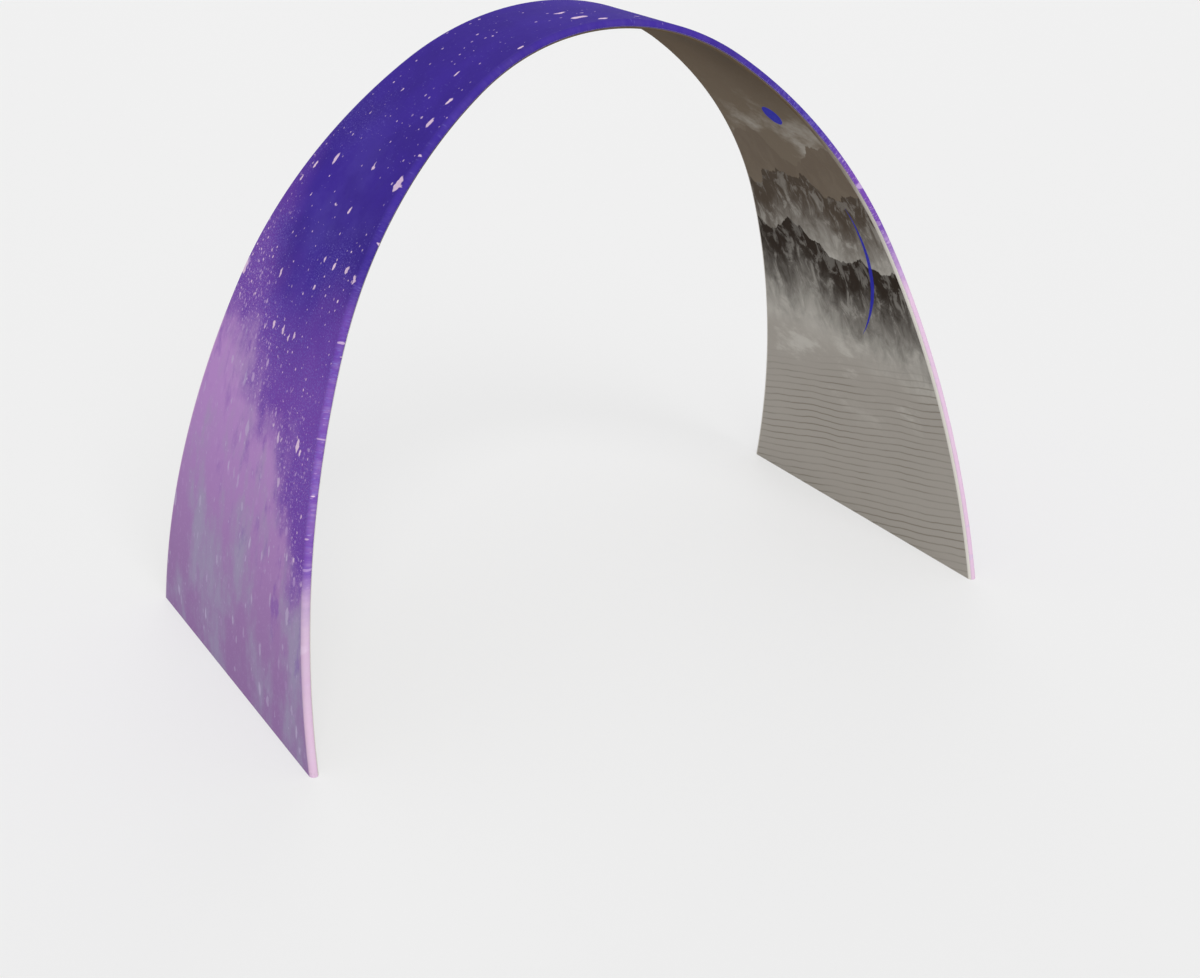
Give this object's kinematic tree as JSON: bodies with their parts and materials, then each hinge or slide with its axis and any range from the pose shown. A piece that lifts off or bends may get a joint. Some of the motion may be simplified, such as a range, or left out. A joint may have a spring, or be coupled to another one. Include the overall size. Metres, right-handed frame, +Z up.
{
  "type": "fabric display arch",
  "caption": "Walk-through display arch: bent tube hoops lean together under a stretched printed fabric cover, with snap-button cross bars and zips under the feet.",
  "frame": {"origin": "on the floor, in the middle of the walkway, under the crown", "axes": "+X across the walkway to the right leg, +Y through the arch from the front hoop to the back hoop, +Z up"},
  "size_m": [3.1074, 1.615, 2.4378],
  "materials": {
    "tube_aluminium": "satin extruded, drawing lines along the tube",
    "bar_aluminium": "satin extruded",
    "button_steel": "zinc plated",
    "spring_steel": "blued spring strip",
    "foot_rubber": "matt moulded",
    "printed_fabric": "stretched knit polyester, dye printed violet to pink",
    "lining_fabric": "stretched knit polyester, dye printed warm grey",
    "seam_fabric": "unprinted cream knit",
    "zip_tape": "woven polyester tape",
    "zip_teeth": "nylon coil",
    "zip_metal": "nickel plated casting"
  },
  "bodies": {
    "root": {"front_left_lower_tube": "tube_aluminium", "front_right_lower_tube": "tube_aluminium", "back_left_lower_tube": "tube_aluminium", "back_right_lower_tube": "tube_aluminium", "front_left_shoulder_tube": "tube_aluminium", "front_right_shoulder_tube": "tube_aluminium", "back_left_shoulder_tube": "tube_aluminium", "back_right_shoulder_tube": "tube_aluminium", "front_crown_tube": "tube_aluminium", "back_crown_tube": "tube_aluminium", "left_base_bar": "bar_aluminium", "right_base_bar": "bar_aluminium", "left_lower_spreader": "bar_aluminium", "right_lower_spreader": "bar_aluminium", "left_upper_spreader": "bar_aluminium", "right_upper_spreader": "bar_aluminium", "hoop_leaf_springs": "spring_steel", "bar_leaf_springs": "spring_steel", "front_left_foot_plug": "foot_rubber", "front_right_foot_plug": "foot_rubber", "back_left_foot_plug": "foot_rubber", "back_right_foot_plug": "foot_rubber", "outer_skin": "printed_fabric", "inner_skin": "lining_fabric", "front_rim_band": "printed_fabric", "back_rim_band": "printed_fabric", "front_seam_tape": "seam_fabric", "back_seam_tape": "seam_fabric", "left_zip_tapes": "zip_tape", "right_zip_tapes": "zip_tape", "left_zip_teeth": "zip_teeth", "right_zip_teeth": "zip_teeth"},
    "front_left_lower_button": {"front_left_lower_button": "button_steel"},
    "front_left_upper_button": {"front_left_upper_button": "button_steel"},
    "front_left_base_bar_button": {"front_left_base_bar_button": "button_steel"},
    "front_left_low_spreader_button": {"front_left_low_spreader_button": "button_steel"},
    "front_left_high_spreader_button": {"front_left_high_spreader_button": "button_steel"},
    "front_right_lower_button": {"front_right_lower_button": "button_steel"},
    "front_right_upper_button": {"front_right_upper_button": "button_steel"},
    "front_right_base_bar_button": {"front_right_base_bar_button": "button_steel"},
    "front_right_low_spreader_button": {"front_right_low_spreader_button": "button_steel"},
    "front_right_high_spreader_button": {"front_right_high_spreader_button": "button_steel"},
    "back_left_lower_button": {"back_left_lower_button": "button_steel"},
    "back_left_upper_button": {"back_left_upper_button": "button_steel"},
    "back_left_base_bar_button": {"back_left_base_bar_button": "button_steel"},
    "back_left_low_spreader_button": {"back_left_low_spreader_button": "button_steel"},
    "back_left_high_spreader_button": {"back_left_high_spreader_button": "button_steel"},
    "back_right_lower_button": {"back_right_lower_button": "button_steel"},
    "back_right_upper_button": {"back_right_upper_button": "button_steel"},
    "back_right_base_bar_button": {"back_right_base_bar_button": "button_steel"},
    "back_right_low_spreader_button": {"back_right_low_spreader_button": "button_steel"},
    "back_right_high_spreader_button": {"back_right_high_spreader_button": "button_steel"},
    "left_zip_slider": {"left_zip_slider": "zip_metal"},
    "left_zip_pull": {"left_zip_pull": "zip_metal"},
    "right_zip_slider": {"right_zip_slider": "zip_metal"},
    "right_zip_pull": {"right_zip_pull": "zip_metal"}
  },
  "joints": [
    {"name": "front_left_lower_button_press", "type": "slide", "parent": "root", "child": "front_left_lower_button", "axis": [0, -0.9753, 0.2209], "range_m": [0, 0.003], "stiffness_N_per_m": 1500, "springref_m": -0.002, "deforming": ["hoop_leaf_springs"]},
    {"name": "front_left_upper_button_press", "type": "slide", "parent": "root", "child": "front_left_upper_button", "axis": [0, -0.9753, 0.2209], "range_m": [0, 0.003], "stiffness_N_per_m": 1500, "springref_m": -0.002, "deforming": ["hoop_leaf_springs"]},
    {"name": "front_left_base_bar_button_press", "type": "slide", "parent": "root", "child": "front_left_base_bar_button", "axis": [-0.0399, 0, -0.9992], "range_m": [0, 0.003], "stiffness_N_per_m": 1500, "springref_m": -0.002, "deforming": ["bar_leaf_springs"]},
    {"name": "front_left_low_spreader_button_press", "type": "slide", "parent": "root", "child": "front_left_low_spreader_button", "axis": [-0.3856, 0, -0.9227], "range_m": [0, 0.003], "stiffness_N_per_m": 1500, "springref_m": -0.002, "deforming": ["bar_leaf_springs"]},
    {"name": "front_left_high_spreader_button_press", "type": "slide", "parent": "root", "child": "front_left_high_spreader_button", "axis": [-0.8066, 0, -0.5911], "range_m": [0, 0.003], "stiffness_N_per_m": 1500, "springref_m": -0.002, "deforming": ["bar_leaf_springs"]},
    {"name": "front_right_lower_button_press", "type": "slide", "parent": "root", "child": "front_right_lower_button", "axis": [0, -0.9753, 0.2209], "range_m": [0, 0.003], "stiffness_N_per_m": 1500, "springref_m": -0.002, "deforming": ["hoop_leaf_springs"]},
    {"name": "front_right_upper_button_press", "type": "slide", "parent": "root", "child": "front_right_upper_button", "axis": [0, -0.9753, 0.2209], "range_m": [0, 0.003], "stiffness_N_per_m": 1500, "springref_m": -0.002, "deforming": ["hoop_leaf_springs"]},
    {"name": "front_right_base_bar_button_press", "type": "slide", "parent": "root", "child": "front_right_base_bar_button", "axis": [0.0399, 0, -0.9992], "range_m": [0, 0.003], "stiffness_N_per_m": 1500, "springref_m": -0.002, "deforming": ["bar_leaf_springs"]},
    {"name": "front_right_low_spreader_button_press", "type": "slide", "parent": "root", "child": "front_right_low_spreader_button", "axis": [0.3856, 0, -0.9227], "range_m": [0, 0.003], "stiffness_N_per_m": 1500, "springref_m": -0.002, "deforming": ["bar_leaf_springs"]},
    {"name": "front_right_high_spreader_button_press", "type": "slide", "parent": "root", "child": "front_right_high_spreader_button", "axis": [0.8066, 0, -0.5911], "range_m": [0, 0.003], "stiffness_N_per_m": 1500, "springref_m": -0.002, "deforming": ["bar_leaf_springs"]},
    {"name": "back_left_lower_button_press", "type": "slide", "parent": "root", "child": "back_left_lower_button", "axis": [0, 0.9753, 0.2209], "range_m": [0, 0.003], "stiffness_N_per_m": 1500, "springref_m": -0.002, "deforming": ["hoop_leaf_springs"]},
    {"name": "back_left_upper_button_press", "type": "slide", "parent": "root", "child": "back_left_upper_button", "axis": [0, 0.9753, 0.2209], "range_m": [0, 0.003], "stiffness_N_per_m": 1500, "springref_m": -0.002, "deforming": ["hoop_leaf_springs"]},
    {"name": "back_left_base_bar_button_press", "type": "slide", "parent": "root", "child": "back_left_base_bar_button", "axis": [-0.0399, 0, -0.9992], "range_m": [0, 0.003], "stiffness_N_per_m": 1500, "springref_m": -0.002, "deforming": ["bar_leaf_springs"]},
    {"name": "back_left_low_spreader_button_press", "type": "slide", "parent": "root", "child": "back_left_low_spreader_button", "axis": [-0.3856, 0, -0.9227], "range_m": [0, 0.003], "stiffness_N_per_m": 1500, "springref_m": -0.002, "deforming": ["bar_leaf_springs"]},
    {"name": "back_left_high_spreader_button_press", "type": "slide", "parent": "root", "child": "back_left_high_spreader_button", "axis": [-0.8066, 0, -0.5911], "range_m": [0, 0.003], "stiffness_N_per_m": 1500, "springref_m": -0.002, "deforming": ["bar_leaf_springs"]},
    {"name": "back_right_lower_button_press", "type": "slide", "parent": "root", "child": "back_right_lower_button", "axis": [0, 0.9753, 0.2209], "range_m": [0, 0.003], "stiffness_N_per_m": 1500, "springref_m": -0.002, "deforming": ["hoop_leaf_springs"]},
    {"name": "back_right_upper_button_press", "type": "slide", "parent": "root", "child": "back_right_upper_button", "axis": [0, 0.9753, 0.2209], "range_m": [0, 0.003], "stiffness_N_per_m": 1500, "springref_m": -0.002, "deforming": ["hoop_leaf_springs"]},
    {"name": "back_right_base_bar_button_press", "type": "slide", "parent": "root", "child": "back_right_base_bar_button", "axis": [0.0399, 0, -0.9992], "range_m": [0, 0.003], "stiffness_N_per_m": 1500, "springref_m": -0.002, "deforming": ["bar_leaf_springs"]},
    {"name": "back_right_low_spreader_button_press", "type": "slide", "parent": "root", "child": "back_right_low_spreader_button", "axis": [0.3856, 0, -0.9227], "range_m": [0, 0.003], "stiffness_N_per_m": 1500, "springref_m": -0.002, "deforming": ["bar_leaf_springs"]},
    {"name": "back_right_high_spreader_button_press", "type": "slide", "parent": "root", "child": "back_right_high_spreader_button", "axis": [0.8066, 0, -0.5911], "range_m": [0, 0.003], "stiffness_N_per_m": 1500, "springref_m": -0.002, "deforming": ["bar_leaf_springs"]},
    {"name": "left_zip_run", "type": "slide", "parent": "root", "child": "left_zip_slider", "axis": [0, -1, 0], "range_m": [0, 1.457], "deforming": ["left_zip_teeth"]},
    {"name": "left_zip_pull_swing", "type": "hinge", "parent": "left_zip_slider", "child": "left_zip_pull", "pos_m": [-1.5358, 0.7345, 0.0044], "axis": [1, 0, 0], "range_deg": [0, 165]},
    {"name": "right_zip_run", "type": "slide", "parent": "root", "child": "right_zip_slider", "axis": [0, -1, 0], "range_m": [0, 1.457], "deforming": ["right_zip_teeth"]},
    {"name": "right_zip_pull_swing", "type": "hinge", "parent": "right_zip_slider", "child": "right_zip_pull", "pos_m": [1.5358, 0.7345, 0.0044], "axis": [1, 0, 0], "range_deg": [0, 165]}
  ]
}
